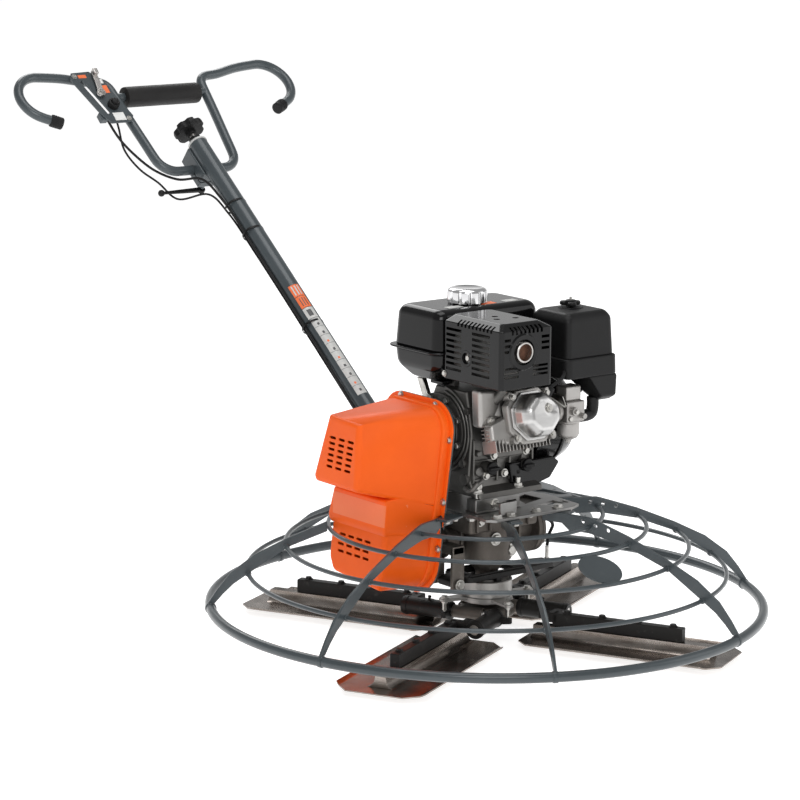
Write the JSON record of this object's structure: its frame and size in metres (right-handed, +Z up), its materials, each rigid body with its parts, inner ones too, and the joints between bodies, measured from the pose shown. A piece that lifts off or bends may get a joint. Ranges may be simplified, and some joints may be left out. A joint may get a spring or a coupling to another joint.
{
  "type": "walk-behind power trowel",
  "caption": "Engine-driven concrete trowel with a guarded rotor of tilting blades, a belt and worm drive, and a long mast with a tilting handlebar and controls.",
  "frame": {"origin": "on the slab plane, on the rotor's axis", "axes": "+Z up along the rotor's axis, +Y to the rear towards the operator along the mast, +X to the operator's left"},
  "size_m": [1.2094, 1.9263, 1.1188],
  "materials": {
    "slate_paint": "gloss paint",
    "orange_paint": "satin paint",
    "black_gloss_paint": "gloss paint",
    "black_plastic": "moulded",
    "cast_iron": "as cast",
    "cast_aluminium": "as cast",
    "bright_steel": "machined",
    "dark_steel": "rolled, worn",
    "chrome": "plated",
    "rubber": "moulded",
    "bronze": "machined"
  },
  "bodies": {
    "frame": {"base_plate": "cast_aluminium", "gearbox_housing": "cast_iron", "gearbox_end_cover": "cast_iron", "worm_bearing": "bright_steel", "output_bearing": "bright_steel", "guard_ring": "slate_paint", "guard_frame": "slate_paint", "engine_rail_front": "cast_aluminium", "engine_rail_rear": "cast_aluminium", "crankcase": "cast_aluminium", "cylinder_head": "cast_aluminium", "valve_cover": "cast_aluminium", "muffler": "dark_steel", "muffler_shield": "black_gloss_paint", "fuel_tank": "black_gloss_paint", "air_cleaner_cover": "black_plastic", "carburettor": "cast_aluminium", "fan_housing": "black_gloss_paint", "recoil_cover": "black_gloss_paint", "belt_cover": "orange_paint", "belt_back_plate": "slate_paint", "mast_tube": "slate_paint", "mast_foot": "slate_paint", "handle_clamp": "slate_paint", "drive_belt": "rubber", "throttle_cable": "rubber", "stop_switch_wire": "rubber", "pitch_cable": "rubber"},
    "rotor": {"output_shaft": "bright_steel", "worm_wheel": "bronze", "spider_hub": "cast_iron"},
    "pressure_plate": {"pressure_plate": "cast_aluminium"},
    "thrust_collar": {"thrust_collar": "cast_aluminium"},
    "pitch_yoke": {"pitch_yoke": "black_gloss_paint"},
    "pitch_knob": {"pitch_knob": "black_plastic"},
    "crank": {"crankshaft": "bright_steel", "flywheel": "cast_iron", "clutch_drum": "bright_steel"},
    "worm": {"worm_shaft": "bright_steel", "gearbox_pulley": "cast_iron"},
    "fuel_cap": {"fuel_cap": "chrome"},
    "air_cleaner_knob": {"air_cleaner_knob": "black_plastic"},
    "recoil_handle": {"recoil_handle": "black_plastic"},
    "choke_lever": {"choke_lever": "bright_steel"},
    "handle": {"handlebar": "slate_paint", "grip_sleeve": "rubber", "handle_cap_left": "rubber", "handle_cap_right": "rubber", "control_plate": "slate_paint"},
    "throttle_lever": {"throttle_lever": "bright_steel"},
    "stop_button": {"stop_button": "black_gloss_paint"},
    "clamp_lever": {"clamp_lever": "black_plastic"},
    "blade_unit_1": {"blade_arm_1": "dark_steel", "blade_1": "dark_steel"},
    "blade_unit_2": {"blade_arm_2": "dark_steel", "blade_2": "dark_steel"},
    "blade_unit_3": {"blade_arm_3": "dark_steel", "blade_3": "dark_steel"},
    "blade_unit_4": {"blade_arm_4": "dark_steel", "blade_4": "dark_steel"}
  },
  "joints": [
    {"name": "rotor_spin", "type": "hinge", "parent": "frame", "child": "rotor", "pos_m": [0, 0, 0.05], "axis": [0, 0, -1], "continuous": true},
    {"name": "blade_1_pitch", "type": "hinge", "parent": "rotor", "child": "blade_unit_1", "pos_m": [-0.02179, 0.04277, 0.0445], "axis": [-0.891, -0.454, 0], "range_deg": [0, 15]},
    {"name": "blade_2_pitch", "type": "hinge", "parent": "rotor", "child": "blade_unit_2", "pos_m": [-0.04277, -0.02179, 0.0445], "axis": [0.454, -0.891, 0], "range_deg": [0, 15]},
    {"name": "blade_3_pitch", "type": "hinge", "parent": "rotor", "child": "blade_unit_3", "pos_m": [0.02179, -0.04277, 0.0445], "axis": [0.891, 0.454, 0], "range_deg": [0, 15]},
    {"name": "blade_4_pitch", "type": "hinge", "parent": "rotor", "child": "blade_unit_4", "pos_m": [0.04277, 0.02179, 0.0445], "axis": [-0.454, 0.891, 0], "range_deg": [0, 15]},
    {"name": "plate_slide", "type": "slide", "parent": "rotor", "child": "pressure_plate", "axis": [0, 0, -1], "range_m": [0, 0.0079]},
    {"name": "collar_slide", "type": "slide", "parent": "frame", "child": "thrust_collar", "axis": [0, 0, -1], "range_m": [0, 0.0079]},
    {"name": "yoke_tilt", "type": "hinge", "parent": "frame", "child": "pitch_yoke", "pos_m": [-0.108, 0, 0.122], "axis": [0, 1, 0], "range_deg": [0, 4.3]},
    {"name": "knob_turn", "type": "hinge", "parent": "frame", "child": "pitch_knob", "pos_m": [0, 1.1369, 0.97697], "axis": [0, 0.7837, 0.6212], "range_deg": [0, 545]},
    {"name": "worm_spin", "type": "hinge", "parent": "frame", "child": "worm", "pos_m": [0, 0.045, 0.2], "axis": [1, 0, 0], "continuous": true},
    {"name": "crank_spin", "type": "hinge", "parent": "frame", "child": "crank", "pos_m": [0, 0.03, 0.4495], "axis": [1, 0, 0], "continuous": true},
    {"name": "fuel_cap_turn", "type": "hinge", "parent": "frame", "child": "fuel_cap", "pos_m": [-0.012, 0.062, 0.72], "axis": [0, 0, 1], "range_deg": [0, 120]},
    {"name": "air_cleaner_knob_turn", "type": "hinge", "parent": "frame", "child": "air_cleaner_knob", "pos_m": [0.168, -0.066, 0.7], "axis": [0, 0, 1], "range_deg": [0, 720]},
    {"name": "recoil_pull", "type": "slide", "parent": "frame", "child": "recoil_handle", "axis": [0, 0, 1], "range_m": [0, 0.35], "stiffness_N_per_m": 40, "springref_m": -0.02},
    {"name": "choke_swing", "type": "hinge", "parent": "frame", "child": "choke_lever", "pos_m": [0.152, -0.121, 0.498], "axis": [1, 0, 0], "range_deg": [0, 60]},
    {"name": "handle_tilt", "type": "hinge", "parent": "frame", "child": "handle", "pos_m": [0, 1.08059, 0.88467], "axis": [1, 0, 0], "range_deg": [-25, 20], "deforming": ["throttle_cable", "stop_switch_wire"]},
    {"name": "throttle_swing", "type": "hinge", "parent": "handle", "child": "throttle_lever", "pos_m": [-0.178, 1.23845, 1.0628], "axis": [0, -0.6839, 0.7296], "range_deg": [0, 50]},
    {"name": "stop_press", "type": "slide", "parent": "handle", "child": "stop_button", "axis": [0, 0.6839, -0.7296], "range_m": [0, 0.003], "stiffness_N_per_m": 400, "springref_m": -0.001},
    {"name": "clamp_swing", "type": "hinge", "parent": "frame", "child": "clamp_lever", "pos_m": [0, 1.08347, 0.83593], "axis": [0, 0.6212, -0.7837], "range_deg": [0, 40]}
  ],
  "couplings": [
    {"joint": "worm_spin", "follows": "rotor_spin", "ratio": 20},
    {"joint": "crank_spin", "follows": "rotor_spin", "ratio": 27.778},
    {"joint": "blade_2_pitch", "follows": "blade_1_pitch", "ratio": 1},
    {"joint": "blade_3_pitch", "follows": "blade_1_pitch", "ratio": 1},
    {"joint": "blade_4_pitch", "follows": "blade_1_pitch", "ratio": 1},
    {"joint": "plate_slide", "follows": "blade_1_pitch", "m_per_rad": 0.0298},
    {"joint": "collar_slide", "follows": "blade_1_pitch", "m_per_rad": 0.0298},
    {"joint": "yoke_tilt", "follows": "blade_1_pitch", "ratio": 0.276},
    {"joint": "knob_turn", "follows": "blade_1_pitch", "ratio": 36}
  ]
}
